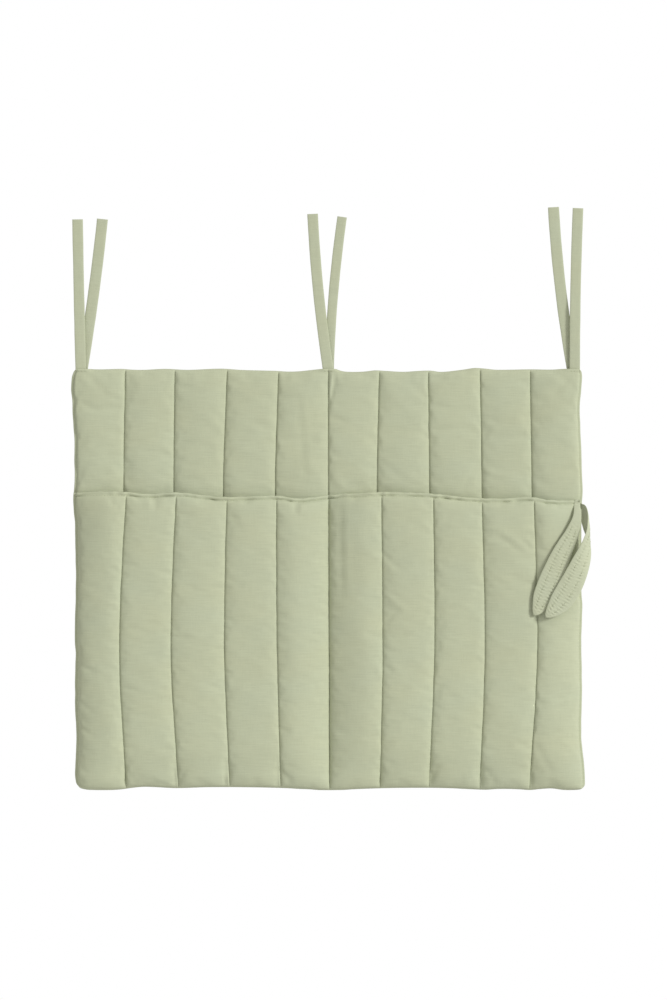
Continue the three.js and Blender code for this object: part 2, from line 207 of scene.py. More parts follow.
# %% Cotton
def make_cotton(name, colour, drift):
    """drift is how strongly the tone of the cloth changes from place to place."""
    material, tree, shader = new_material(name, colour, 0.88)
    at = add_node(tree, "ShaderNodeUVMap", uv_map="cloth").outputs["UV"]
    slub = noise_on(tree, at, (45, 900, 1), 3.0)
    fine_slub = noise_on(tree, at, (700, 60, 1), 2.0)
    blotch = noise_on(tree, at, (9, 7, 1), 3.0)
    tone = combine(tree, "MULTIPLY",
                   ramp_between(tree, slub, 1 - 0.035 * drift, 1 + 0.035 * drift),
                   ramp_between(tree, blotch, 1 - 0.025 * drift, 1 + 0.025 * drift),
                   ramp_between(tree, fine_slub, 0.985, 1.015))
    red, green, blue = colour
    tints = {"A": (red * 1.02, green, blue * 0.965, 1),
             "B": (red * 0.985, green * 1.005, blue * 1.035, 1),
             "Factor": noise_on(tree, at, (14, 22, 1), 2.0)}
    hue = add_node(tree, "ShaderNodeMix", tints, data_type="RGBA")
    give_colour(tree, shader, hue.outputs["Result"], tone)
    relief = combine(tree, "ADD",
                     ramp_between(tree, yarn_waves(tree, at, "X"), 0, 0.25, 0, 1),
                     ramp_between(tree, yarn_waves(tree, at, "Y"), 0, 0.25, 0, 1),
                     ramp_between(tree, slub, 0, 0.9),
                     ramp_between(tree, fine_slub, 0, 0.3))
    give_relief(tree, shader, relief, 0.5, 0.00022)
    nap = {"Specular IOR Level": 0.2, "Sheen Weight": 0.12, "Sheen Roughness": 0.5,
           "Sheen Tint": (0.95, 1.0, 0.86, 1)}
    for socket, value in nap.items():
        shader.inputs[socket].default_value = value
    return material


panel_cotton = make_cotton("sage_cotton", (0.482, 0.512, 0.357), 1.0)
tape_cotton = make_cotton("tape_cotton", (0.483, 0.511, 0.361), 0.7)
leaf_cotton = make_cotton("leaf_cotton", (0.51, 0.54, 0.385), 0.9)
print("cottons", panel_cotton.name, tape_cotton.name, leaf_cotton.name)


# %% Thread and wadding
def noise_in_space(tree, scale, detail):
    place = add_node(tree, "ShaderNodeTexCoord").outputs["Object"]
    return noise_on(tree, place, scale, detail)


def make_thread():
    material, tree, shader = new_material("sewing_thread", (0.44, 0.47, 0.31), 0.6)
    twist = noise_in_space(tree, (900, 900, 2600), 1.0)
    give_colour(tree, shader, (0.45, 0.48, 0.32), ramp_between(tree, twist, 0.85, 1.12))
    give_relief(tree, shader, twist, 0.3, 0.0001)
    return material


def make_wadding():
    material, tree, shader = new_material("polyester_wadding", (0.86, 0.85, 0.8), 0.95)
    give_relief(tree, shader, noise_in_space(tree, (600, 600, 600), 4.0), 0.6, 0.0005)
    return material


thread, wadding = make_thread(), make_wadding()
for name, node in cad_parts.items():
    sewn = "thread" in name or "stitch" in name or "bartack" in name
    node.data.materials.clear()
    node.data.materials.append(wadding if "wadding" in name else thread if sewn else panel_cotton)
print("thread and wadding for", len(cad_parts), "nodes")

# %% [markdown]
# ## Where the seams lie
# Sizes from here on are in millimetres, and each mesh is scaled to metres as it is finished. Real
# seams wander: cloth shifts under the machine's foot, and the wadding pulls the channels about. So each
# seam, each side and the pocket's mouth has its own few offsets, and a smooth line runs through them.

# %% Smooth lines through a few places
MM = 0.001
PANEL_WIDTH, PANEL_HEIGHT, POCKET_HEIGHT = 600.0, 495.0, 347.0
HALF_WIDTH, MOUTH_DOWN = PANEL_WIDTH / 2, PANEL_HEIGHT - POCKET_HEIGHT
CHANNELS, MIDDLE_SEAM = 10, 5


def flow(stations, values, at):
    """A smooth line through values at rising stations."""
    if at <= stations[0]:
        return values[0]
    if at >= stations[-1]:
        return values[-1]
    i = bisect_right(stations, at) - 1
    h = stations[i + 1] - stations[i]
    t = (at - stations[i]) / h

    def slope(k):
        a, b = max(k - 1, 0), min(k + 1, len(stations) - 1)
        return (values[b] - values[a]) / (stations[b] - stations[a])

    m0, m1 = slope(i) * h, slope(i + 1) * h
    t2, t3 = t * t, t * t * t
    return ((2 * t3 - 3 * t2 + 1) * values[i] + (t3 - 2 * t2 + t) * m0
            + (3 * t2 - 2 * t3) * values[i + 1] + (t3 - t2) * m1)


def clamp(t):
    return min(max(t, 0.0), 1.0)


def smooth(t):
    t = clamp(t)
    return t * t * (3 - 2 * t)


def wave(x, z, scale, seed):
    """Smooth noise from -1 to 1 that changes over about scale millimetres."""
    return noise.noise(Vector((x / scale, z / scale, seed * 7.31)))


print("halfway on a smooth line from 0 to 10:", flow([0, 1], [0, 10], 0.5))

# %% Edges and seams
# offsets to the right at depths below the top edge, and heights at places across
left_depths = [
    0, 8, 22, 36, 50, 64, 83, 107, 121, 135, 150, 164, 178, 192, 235, 248, 277, 305, 319, 334,
    362, 390, 404, 419, 447, 475, 490
]
left_offsets = [
    1.0, -2.0, -3.1, -1.8, -1.6, -0.6, 0.7, 0.4, 1.1, 0.9, -0.5, 0.1, 1.4, 1.75, 2.7, 2.6, 2.2,
    1.4, 1.5, 2.5, 1.7, 1.7, 2.0, 2.9, 3.0, 1.7, 3.2
]
right_depths = [
    0, 8, 22, 36, 50, 64, 79, 93, 107, 121, 135, 150, 163, 263, 277, 291, 305, 319, 362, 376,
    404, 419, 433, 447, 461, 484, 495
]
right_offsets = [
    -2.5, -1.2, -2.2, -3.6, -4.1, -3.5, -2.9, -2.2, -1.7, -1.5, -0.8, -0.8, -2.0, -2.2, -1.3,
    -1.5, -2.1, -2.4, -1.9, -1.6, -2.1, -2.6, -2.4, -1.2, 0.4, 1.9, 1.5
]
top_places = [
    -300, -290, -270, -244, -231, -218, -192, -166, -127, -101, -62, -49, -36, -22, -8, 0, 8,
    17, 29, 42, 55, 68, 88, 107, 120, 133, 159, 172, 185, 198, 237, 263, 276, 290, 300
]
top_heights = [
    0.6, 1.0, 0.35, 0.9, 0, -0.2, 0.95, -0.2, 1.2, -0.35, -1.4, -2.2, -2.0, -0.6, 0.9, 1.1, 0.9,
    -1.9, -2.6, -2.2, -0.8, -1.5, -2.5, -1.4, -1.1, -2.6, 0.1, 2.0, 1.2, -0.1, 0.4, 0.1, 0.9,
    1.0, 0.2
]
bottom_places = [
    -300, -291, -283, -257, -244, -231, -218, -205, -179, -140, -88, -49, -36, -23, -10, 16, 29,
    55, 81, 120, 146, 159, 185, 198, 211, 224, 237, 250, 263, 276, 289, 300
]
bottom_heights = [
    -491.4, -493.1, -494.6, -494.9, -494.1, -492.3, -491.1, -491.4, -492.6, -491.5, -491.7,
    -492.7, -493.5, -494, -494.9, -494.8, -494, -493, -492.4, -492.3, -492.8, -493.5, -494.5,
    -493.7, -493.6, -494, -494.8, -493.6, -493, -494.7, -494.8, -494
]
mouth_places = [
    -300, -270, -241, -211, -179, -152, -122, -62, -34, 0, 14, 61, 84, 120, 144, 179, 208, 238,
    262, 291, 300
]
mouth_heights = [
    -144.8, -143.5, -143.8, -146.4, -144.4, -147, -150, -148.2, -151.4, -147.8, -146.4, -144.1,
    -144.4, -145.9, -148.2, -151.2, -151.2, -150, -153.5, -154.1, -156
]
# how far to the right of its even place each seam lies, at a few depths below the top edge
back_offsets = {
    0: [0, 0.8, -0.8, 0.8, 1.2, -0.1, -0.1, -2.4, -1.4, -2.6, 0],
    148: [0, -1.2, -2.2, -3.9, -2.6, -0.1, -2.8, -1, 0.8, -0.4, 0],
    320: [0, 0, -1, -1, 0, 0.9, 0, -1, 0, 0, 0],
    495: [0, 1, 0, -1, 0, 1.4, 0, 1, 0, -1, 0],
}
pocket_offsets = {
    148: [0, 2.3, 1.2, 0.8, -1.1, 0.7, 2.5, 3.3, 0.1, 1.2, 0],
    325: [0, -5.3, -4.9, -2.2, -0.3, 0.9, 3.9, 4.8, 3.9, 5.6, 0],
    495: [0, 2.3, 3.9, 4.3, 4.1, 1.4, 0.9, -1.7, -1.9, -3.4, 0],
}


def side_x(side, z):
    """Where a side of the panel lies at a height, with a little unevenness of its own."""
    depths, offsets = (left_depths, left_offsets) if side < 0 else (right_depths, right_offsets)
    return side * HALF_WIDTH + flow(depths, offsets, -z) + 0.35 * wave(side * 9, z, 14, 1)


def top_z(x):
    return flow(top_places, top_heights, x)


def bottom_z(x):
    return flow(bottom_places, bottom_heights, x)


def mouth_z(x):
    return flow(mouth_places, mouth_heights, x) + 0.5 * wave(x, 0, 9, 5) + 0.4 * wave(x, 0, 4.5, 8)


def wandering_x(seam, z, offsets):
    own = [row[seam] for row in offsets.values()]
    return (seam / CHANNELS - 0.5) * PANEL_WIDTH + flow(list(offsets), own, -z)


def back_seam_x(seam, z):
    return wandering_x(seam, z, back_offsets)


def pocket_seam_x(seam, z):
    drift = 0.5 * wave(seam * 13, z, 45, 6) if 0 < seam < CHANNELS else 0
    return wandering_x(seam, z, pocket_offsets) + drift


print("seams at the mouth", [round(pocket_seam_x(s, -MOUTH_DOWN)) for s in range(CHANNELS + 1)])

# %% [markdown]
# ## Columns and rows
# Each layer of cloth is one grid. Its columns crowd together near the seams and its rows near the
# edges, where the cloth turns most sharply. The lip round a panel is a flat strip without wadding. Each
# seam and lip lies on an even column or row, so that a grid of every second one still meets them.

# %% Columns and rows of a panel
LIP = 3.0
lip_steps = [0, 0.6, 1.3, 2.1]
half_shares = [0, 0.012, 0.028, 0.05, 0.08, 0.12, 0.165, 0.215, 0.27, 0.325, 0.38, 0.44, 0.5]
edge_rows = [0, 0.8, 1.8, 3.0, 4.2, 6, 8.4, 11.4]
mouth_rows = [0, 0.8, 1.8, 3.2, 4.4, 5.6, 7.4, 9.8, 12.8]
BACK_STEPS, POCKET_STEPS = 172, 161


def panel_columns():
    """(channel, share across it, distance from the panel's side or None) for each column."""
    shares = half_shares + [1 - share for share in reversed(half_shares[1:-1])]
    left = [(0, 0.0, step) for step in lip_steps]
    inside = [(channel, share, None) for channel in range(CHANNELS) for share in shares]
    right = [(CHANNELS - 1, 1.0, step) for step in reversed(lip_steps)]
    return left + inside + [(CHANNELS - 1, 1.0, None)] + right


def panel_rows(height, upper, lower, count):
    """Distances down a panel, with close rows at its two ends and count steps between them."""
    foot = [height - d for d in reversed(lower)]
    start, end = upper[-1], foot[0]
    middle = [start + (end - start) * k / count for k in range(1, count)]
    return upper + middle + foot


columns = panel_columns()
back_rows = panel_rows(PANEL_HEIGHT, edge_rows, edge_rows, BACK_STEPS)
pocket_rows = panel_rows(POCKET_HEIGHT, mouth_rows, edge_rows, POCKET_STEPS)
print("columns", len(columns), "back rows", len(back_rows), "pocket rows", len(pocket_rows))

# %% [markdown]
# ## How thick the channels stand
# A channel is steep beside its seams and flat along its crown, because the wadding pushes the cloth
# out until it is tight. It runs down to nothing at the lips. Behind, the panel lies on a rail, so its
# crowns are flatter. The pocket lies on the back panel where it is sewn down, and stands off between.

# %% Channels
SEAM_HALF = 1.3
END_RUN = 16.0
END_SEAM = 0.8  # the channels round over almost to the edge, above and below
FRONT_STEEPNESS, REAR_STEEPNESS, END_STEEPNESS = 0.34, 0.3, 0.42


def crown(share, steepness=FRONT_STEEPNESS):
    return max(0.0, 1 - (2 * share - 1) ** 2) ** steepness


def end_rise(distance):
    return max(0.0, 1 - (1 - clamp(distance / END_RUN)) ** 2) ** END_STEEPNESS


def channel_sides(channel, z, seam_x):
    left = side_x(-1, z) + LIP if channel == 0 else seam_x(channel, z)
    right = side_x(1, z) - LIP if channel == CHANNELS - 1 else seam_x(channel + 1, z)
    return left, right


def channel_share(x, z, seam_x):
    """How far across its channel a place on a panel lies."""
    channel = int(min(max((x / PANEL_WIDTH + 0.5) * CHANNELS, 0), CHANNELS - 1))
    if channel > 0 and x < seam_x(channel, z):
        channel -= 1
    elif channel < CHANNELS - 1 and x > seam_x(channel + 1, z):
        channel += 1
    left, right = channel_sides(channel, z, seam_x)
    return clamp((x - left) / (right - left))


print("crown a tenth of the way across", round(crown(0.1), 2))

# %% Heights of the layers
BACK_FRONT_LOFT, BACK_REAR_LOFT = 5.2, 3.7
POCKET_FRONT_LOFT, POCKET_REAR_LOFT, POCKET_OPENING = 5.2, 1.4, 4.9
SEAT_GAP = 0.9
MOUTH_LIP, MOUTH_START = 5.0, 0.6
SIDE_RUN, BOTTOM_RUN, SEWN_FLAT = 46.0, 46.0, 1
POCKET_SEAM_DEPTH = SEAM_HALF + BACK_FRONT_LOFT + POCKET_OPENING + POCKET_REAR_LOFT + SEAM_HALF


def back_ends(x, z):
    return end_rise(min(top_z(x) - z, z - bottom_z(x)) - END_SEAM)


def back_front(x, z, share):
    return SEAM_HALF + BACK_FRONT_LOFT * crown(share) * back_ends(x, z)


def back_rear(x, z, share):
    return SEAM_HALF + BACK_REAR_LOFT * crown(share, REAR_STEEPNESS) * back_ends(x, z)


def pocket_open(x, z):
    away = min(x - side_x(-1, z), abs(x - pocket_seam_x(MIDDLE_SEAM, z)), side_x(1, z) - x)
    return smooth((away - SEWN_FLAT) / SIDE_RUN) * smooth((z - bottom_z(x) - LIP) / BOTTOM_RUN)


def pocket_rise(x, z, share):
    upper = end_rise(mouth_z(x) - z - MOUTH_LIP + MOUTH_START)
    return crown(share) * min(upper, end_rise(z - bottom_z(x) - END_SEAM))


def pocket_rear(x, z, share):
    lying = back_front(x, z, channel_share(x, z, back_seam_x)) + SEAT_GAP
    free = POCKET_SEAM_DEPTH - SEAM_HALF - POCKET_REAR_LOFT * pocket_rise(x, z, share)
    return lying + (free - lying) * pocket_open(x, z)


def pocket_front(x, z, share):
    loft = POCKET_FRONT_LOFT + POCKET_REAR_LOFT * pocket_open(x, z)
    return pocket_rear(x, z, share) + 2 * SEAM_HALF + loft * pocket_rise(x, z, share)


print("crest of the pocket", round(pocket_front(-90, -320, 0.5), 1), "mm in front of the plane")

# %% [markdown]
# ## Folds that the photograph shows
# A few creases are too plain to leave to chance: the soft fold beside the middle seam, the puckers that
# run from seam six, and those near the left side. Each is a ridge or a valley along a short line. Many
# more small ones start at the seams, where the stitches have pulled the cloth.

# %% Named creases
# x and z of both ends, the width of the fold and how far it stands out (or in, where negative)
pocket_creases = [
    (14, -154, 16, -268, 3.5, -1.0), (20, -160, 23, -262, 5, 0.6),
    (-32, -152, -33, -167, 3, 1.0), (-37, -152, -38, -168, 3, -1.5),
    (64, -308, 100, -296, 3, 0.8), (64, -318, 96, -310, 3, -0.8), (63, -300, 82, -282, 3, -0.7),
    (62, -215, 84, -236, 3.5, -0.8), (66, -262, 90, -284, 3.5, 0.7),
    (-296, -346, -278, -354, 2.8, -0.8), (-296, -352, -278, -347, 2.8, 0.8),
    (-296, -420, -276, -430, 3, -0.8), (-294, -428, -280, -424, 3, 0.6),
    (199, -196, 226, -215, 3, -0.9), (203, -190, 230, -208, 3.5, 0.7),
    (227, -201, 238, -212, 2.5, -0.7), (232, -198, 240, -206, 2.5, 0.5),
    (-205, -149, -203, -164, 3, -1.5), (-209, -150, -211, -162, 3, 0.8),
    (-256, -149, -253, -160, 3, -1.1), (-205, -484, -190, -490, 2.5, -0.8),
    (-204, -482, -188, -484, 2.5, 0.6), (-58, -470, -44, -484, 3, -0.7),
    (128, -466, 119, -486, 3, -0.8), (-168, -470, -176, -486, 3, -0.7),
    (244, -440, 262, -474, 4, -0.7), (-118, -160, -104, -190, 4, -0.6),
    (186, -470, 196, -486, 3, -0.7), (-240, -472, -232, -488, 3, 0.6),
]
back_creases = [
    (4, -3, 2.5, -32, 2.4, 0.8), (8.2, -3, 3.6, -34, 1.7, -1.9), (-36, -26, -27, -136, 3, -0.5),
    (-30, -24, -20, -130, 4, 0.35), (-239, -115, -234, -134, 6, -0.8),
    (-292, -40, -272, -47, 3, -0.7), (284, -8, 264, -30, 4, -0.8), (-284, -6, -264, -26, 4, -0.6),
    (40, -4, 41, -9, 2, -0.8), (62, -108, 86, -128, 4, -0.6), (-176, -20, -150, -27, 4, -0.5),
    (176, -110, 158, -140, 4, -0.6), (-90, -62, -66, -68, 3.5, -0.4), (120, -40, 146, -48, 4, -0.4),
]
print("named creases", len(pocket_creases), "and", len(back_creases))


# %% Small creases along the seams
def pulled_creases(seam_x, upper, lower, seed):
    """Short creases that the stitches pull into the cloth, on both sides of each seam."""
    pick = random.Random(seed)
    pulled = []
    for seam in range(1, CHANNELS):
        for side in (-1, 1):
            z = upper - pick.uniform(8, 45)
            while z > lower + 10:
                x = seam_x(seam, z) + side * pick.uniform(1, 3)
                end = (x + side * pick.uniform(6, 20), z + pick.uniform(-6, 6))
                pulled.append((x, z, *end, pick.uniform(2.2, 3.4), pick.uniform(-0.7, 0.55)))
                z -= pick.uniform(14, 50)
    return pulled


BAND, REACH = 20.0, 3  # millimetres of height, and how many widths away a crease is still felt


def in_bands(creases):
    """The creases that reach each band of height, so that a place asks only for those near it."""
    bands = {}
    for crease in creases:
        _, z0, _, z1, width, _ = crease
        lowest, highest = min(z0, z1) - REACH * width, max(z0, z1) + REACH * width
        for band in range(int(lowest // BAND), int(highest // BAND) + 1):
            bands.setdefault(band, []).append(crease)
    return bands


def crease_height(bands, x, z):
    total = 0.0
    for x0, z0, x1, z1, width, height in bands.get(int(z // BAND), ()):
        run_x, run_z = x1 - x0, z1 - z0
        length = math.hypot(run_x, run_z)
        along = ((x - x0) * run_x + (z - z0) * run_z) / length
        off = ((x - x0) * run_z - (z - z0) * run_x) / length
        beyond = max(-along, along - length, 0)
        if max(beyond, abs(off)) < REACH * width:
            taper = math.sin(math.pi * clamp((along + width) / (length + 2 * width))) ** 0.5
            total += height * math.exp(-((off / width) ** 2 + (beyond / width) ** 2)) * taper
    return total


pocket_creases = in_bands(pocket_creases + pulled_creases(pocket_seam_x, -150, -492, 4))
back_creases = in_bands(back_creases + pulled_creases(back_seam_x, 0, -150, 5))
rear_creases = in_bands(pulled_creases(back_seam_x, 0, -492, 6))
print("creases in front", sum(map(len, (*pocket_creases.values(), *back_creases.values()))))

# %% [markdown]
# ## One layer of cloth
# A layer starts as an operator's flat grid, and each of its points is moved to its place on the
# quilted form. Fine puckers cross the flanks beside every seam, because the stitches gather the cloth.
# Then Blender's Cloth lets it slacken: it is pinned along its seams and lips, blown outwards from the
# wadding's side, and a little bigger than its frame, so that it finds its own wrinkles. How far a point
# may move is capped, and the result is kept as plain mesh. Last it gets the thickness of cotton.

# %% Places on a layer
TOP_CORNER, BOTTOM_CORNER = 3.0, 7.0


def rounded(dx, dz, radius):
    """Squeezes the square corner of a panel into a round one."""
    if dx >= radius or dz >= radius:
        return dx, dz
    a, b = radius - dx, radius - dz
    scale = max(a, b) / math.hypot(a, b)
    return radius - a * scale, radius - b * scale


def panel_place(column, down, height, upper_z, seam_x):
    """x, z, share across the channel and the distance from the nearest side for a grid point."""
    channel, share, edge = column
    z = upper_z(0) + (bottom_z(0) - upper_z(0)) * down / height
    for _ in range(2):
        left, right = channel_sides(channel, z, seam_x)
        x = left + (right - left) * share
        if edge is not None:
            x = side_x(-1, z) + edge if share == 0 else side_x(1, z) - edge
        z = upper_z(x) + (bottom_z(x) - upper_z(x)) * down / height
    side = -1 if x < 0 else 1
    from_side, from_end = abs(side_x(side, z) - x), min(down, height - down)
    upper = down < height / 2
    upper_corner = TOP_CORNER if height == PANEL_HEIGHT else 0.0
    new_side, new_end = rounded(from_side, from_end, upper_corner if upper else BOTTOM_CORNER)
    x += side * (from_side - new_side)
    z += (new_end - from_end) * (-1 if upper else 1)
    return x, z, share, min(from_side, from_end)


first_place = panel_place(columns[0], 0, PANEL_HEIGHT, top_z, back_seam_x)
print("upper left corner", [round(value, 1) for value in first_place[:2]])

# %% Turned edges and tie roots
EDGE_ROUND, EDGE_START = 1.8, 0.6
tie_spans = [(-298.0, -283.8), (-6.6, 6.4), (280.8, 296.2)]
ROOT_RISE, ROOT_BESIDE, ROOT_BELOW = 2.1, 4.5, 4


def edge_turn(from_edge):
    """How far a layer has come out from the middle of the lip at a distance from its edge."""
    quarter = math.sqrt(1 - (1 - clamp(from_edge / EDGE_ROUND)) ** 2)
    return EDGE_START + (1 - EDGE_START) * quarter


def round_ties(x, z, down):
    """The top lip stands out round the roots of the ties, which come up between its two layers."""
    away = min(max(left - x, x - right, 0) for left, right in tie_spans)
    closed = smooth(min(x - side_x(-1, z), side_x(1, z) - x) / 1.5)
    beside, below = smooth(away / ROOT_BESIDE), smooth((down - 0.5) / ROOT_BELOW)
    return ROOT_RISE * closed * (1 - beside) * (1 - below)


print("lip stands out over a tie by", round(round_ties(0, 0, 0), 1), "mm")


# %% Puckers
def bell(distance, width):
    return math.exp(-((distance / width) ** 2))


def seam_puckers(x, z, share, seed):
    """Small folds square to a seam, strongest on the flanks beside it."""
    nearest = min(share, 1 - share)
    side = 3 if share > 0.5 else 0
    fine = wave(x * 0.15, z, 4.6, seed + side) * bell(nearest - 0.055, 0.06)
    broad = wave(x * 0.4, z, 15, seed + side + 1) * bell(nearest - 0.1, 0.085)
    return 0.34 * fine + 0.24 * broad


def slack(x, z, share, seed):
    """The gentle unevenness of a stuffed channel."""
    middle = smooth(min(share, 1 - share) / 0.25)
    return middle * (0.34 * wave(x, z * 0.8, 38, seed) + 0.16 * wave(x, z * 1.6, 15, seed + 5))


# where the topstitch has caught a fold, and how deep it nips
mouth_nips = [(-257, 0.9), (-249, 0.7), (-206, 1.3), (-176, 0.8), (-96, 0.8), (-34, 1.1), (71, 0.7),
              (133, 0.9), (176, 0.7), (221, 0.9)]
PUFF_LENGTH, DEEPEST_NIP = 4.2, 2.0


def mouth_puckers(x, down):
    """The lip above the topstitch puffs out unevenly, and the stitches pinch it."""
    gathers = max(0.1, 0.9 + 2.6 * wave(x, 3, 8, 61) + 1.1 * wave(x, 7, 21, 62))
    puff = 0.9 * gathers * math.sin(math.pi * clamp(down / PUFF_LENGTH)) if down < PUFF_LENGTH else 0
    pinch = max(0, 0.8 + 3.2 * wave(x, 3, 8, 63)) * bell(down - 4.5, 0.9)
    nips = sum(depth * bell(x - at, 3) for at, depth in mouth_nips)
    return puff - min(pinch + nips * smooth(down / 1.5), DEEPEST_NIP)


print("nips along the mouth", len(mouth_nips))


# %% Lay a layer
def grid_place(vert, across_steps, along_steps):
    """The column and the row of a vertex of an operator's flat grid."""
    return round((vert.co.x + 0.5) * across_steps), round((0.5 - vert.co.y) * along_steps)


def grid_index(i, j, across, along):
    """Where column i of row j is among the vertices of a grid of across by along points."""
    return (along - 1 - j) * across + i


def give_cloth_map(build, flat):
    """Writes the cloth's own map, in metres, from the flat place of each vertex."""
    cloth_map = build.loops.layers.uv.new("cloth")
    for face in build.faces:
        face.smooth = True
        for loop in face.loops:
            loop[cloth_map].uv = flat[loop.vert]


def lay_layer(name, sheet, fineness=1):
    """One grid of cloth, at every point of the columns and rows or at every second one."""
    rows, height, upper_z, seam_x, upper_lip, depth, facing, seed, creases = sheet
    some_columns, some_rows = columns[::fineness], rows[::fineness]
    steps = len(some_columns) - 1, len(some_rows) - 1
    build = bmesh.new()
    bmesh.ops.create_grid(build, x_segments=steps[0], y_segments=steps[1], size=0.5)
    pinned, flat = [], {}
    for vert in build.verts:
        i, j = grid_place(vert, *steps)
        column, down = some_columns[i], some_rows[j]
        x, z, share, from_edge = panel_place(column, down, height, upper_z, seam_x)
        out = depth(x, z, share)
        if from_edge < EDGE_ROUND:
            out += (edge_turn(from_edge) - 1) * SEAM_HALF
        if upper_lip == LIP:
            out += round_ties(x, z, down)
        elif facing < 0:
            out += mouth_puckers(x, down) * (1 - smooth((down - MOUTH_LIP - 1) / 2))
        on_lip = column[2] is not None or down <= upper_lip or height - down <= LIP
        if not on_lip and 0 < share < 1:
            from_lip = min(down - upper_lip, height - LIP - down)
            out += smooth(from_lip / 6) * (seam_puckers(x, z, share, seed) + slack(x, z, share, seed))
            out += smooth(from_lip / 2) * crease_height(creases, x, z)
        else:
            pinned.append(vert.index)
        flat[vert] = (x * MM, z * MM)
        vert.co = (x * MM, facing * out * MM, z * MM)
    give_cloth_map(build, flat)
    if facing > 0:
        bmesh.ops.reverse_faces(build, faces=build.faces)
    layer = add_object(name, build)
    layer.vertex_groups.new(name="sewn").add(pinned, 1.0, "ADD")
    return layer


# %% The four layers
def lining_depth(x, z, share):
    return -pocket_rear(x, z, share)


back_grid = (back_rows, PANEL_HEIGHT, top_z, back_seam_x, LIP)
pocket_grid = (pocket_rows, POCKET_HEIGHT, mouth_z, pocket_seam_x, MOUTH_LIP)
sheets = {
    "back_front_cloth": (*back_grid, back_front, -1, 11, back_creases),
    "back_rear_cloth": (*back_grid, back_rear, 1, 23, rear_creases),
    "pocket_face_cloth": (*pocket_grid, pocket_front, -1, 37, pocket_creases),
    "pocket_lining_cloth": (*pocket_grid, lining_depth, 1, 51, {}),
}
layers = {name: lay_layer(name, sheet) for name, sheet in sheets.items()}
back_front_cloth, back_rear_cloth, pocket_face_cloth, pocket_lining_cloth = layers.values()
for layer in layers.values():
    print(layer.name, len(layer.data.polygons), "faces")


# %% Let the cloth slacken
CLOTH_FRAMES = 20
PRESSURE, EXCESS, CAP = 1.6, 0.014, 0.8  # Blender's own units, a share, and millimetres


def slackened(sheet):
    """Runs Cloth on a coarse copy of a layer. Gives how far each of its points has moved."""
    layer = lay_layer("settling_cloth", sheet, 2)
    cloth = layer.modifiers.new("cloth", "CLOTH")
    settings = cloth.settings
    settings.quality = 6
    settings.mass = 0.3
    settings.tension_stiffness = settings.compression_stiffness = 15
    settings.shear_stiffness = 5
    settings.bending_stiffness = 0.05
    settings.use_pressure = True
    settings.uniform_pressure_force = PRESSURE
    settings.shrink_min = -EXCESS
    settings.vertex_group_mass = "sewn"
    settings.effector_weights.gravity = 0
    cloth.point_cache.frame_start, cloth.point_cache.frame_end = 1, CLOTH_FRAMES
    for step in range(1, CLOTH_FRAMES + 1):
        scene.frame_set(step)
    evaluated = layer.evaluated_get(bpy.context.evaluated_depsgraph_get())
    blown = evaluated.to_mesh()
    moves = [after.co - before.co for before, after in zip(layer.data.vertices, blown.vertices)]
    evaluated.to_mesh_clear()
    bpy.data.objects.remove(layer)
    scene.frame_set(1)
    return moves


def wrinkle(layer, sheet):
    """Adds what Cloth found to a layer: its wrinkles, but not the even swelling of a channel."""
    rows = sheet[0]
    across, along = (len(columns) + 1) // 2, (len(rows) + 1) // 2
    moves = slackened(sheet)
    for i in range(across):
        column = [grid_index(i, j, across, along) for j in range(along)]
        mean = sum(moves[k].y for k in column) / along
        for k in column:
            still = min(1.0, abs(moves[k].y) / max(abs(mean), 1e-9))
            moves[k].y -= mean * still
    furthest = 0.0
    for k, vert in enumerate(layer.data.vertices):
        j, i = divmod(k, len(columns))
        j = len(rows) - 1 - j
        near = [moves[grid_index(ci, cj, across, along)]
                for ci in (i // 2, (i + 1) // 2) for cj in (j // 2, (j + 1) // 2)]
        move = sum(near, Vector()) / len(near)
        furthest = max(furthest, move.length)
        vert.co += move / (1 + move.length / (CAP * MM))
    print(layer.name, "wrinkled by up to", round(furthest / MM, 1), "mm before the cap")


for layer in (back_front_cloth, back_rear_cloth, pocket_face_cloth):
    wrinkle(layer, sheets[layer.name])

# %% [markdown]
# ## Wadding
# The pads are what gives the panels their form, though nothing of them shows. Each is built from the
# two layers of cloth that it lies between: it follows them just inside, at every second point, and
# closes at the lips. So it fits however the cloth has settled.

# %% A closed body from two grids
MERGE_DISTANCE = 1e-7


def closed_pair(name, across_steps, along_steps, place, cloth_at):
    """Two grids, front and rear, that meet round their border. place(i, j, face) is in millimetres."""
    build = bmesh.new()
    size = {"x_segments": across_steps, "y_segments": along_steps, "size": 0.5}
    front = set(bmesh.ops.create_grid(build, **size)["verts"])
    bmesh.ops.create_grid(build, **size)
    rear_faces = [face for face in build.faces if face.verts[0] not in front]
    bmesh.ops.reverse_faces(build, faces=rear_faces)
    flat = {}
    for vert in build.verts:
        i, j = grid_place(vert, across_steps, along_steps)
        vert.co = Vector(place(i, j, 1 if vert in front else -1)) * MM
        flat[vert] = Vector(cloth_at(i, j)) * MM
    give_cloth_map(build, flat)
    bmesh.ops.remove_doubles(build, verts=build.verts, dist=MERGE_DISTANCE)
    bmesh.ops.recalc_face_normals(build, faces=build.faces)
    return add_object(name, build)


def finish_piece(piece, material, slot_name, body, *nodes):
    piece.data.materials.clear()
    piece.data.materials.append(material)
    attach(piece, body)
    if nodes:
        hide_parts(*nodes)


# %% Pads between the layers
CLOTH_THICKNESS, WADDING_GAP = 0.6, 0.35
THIN_PAD, THIN_HALF = 0.2, 0.05


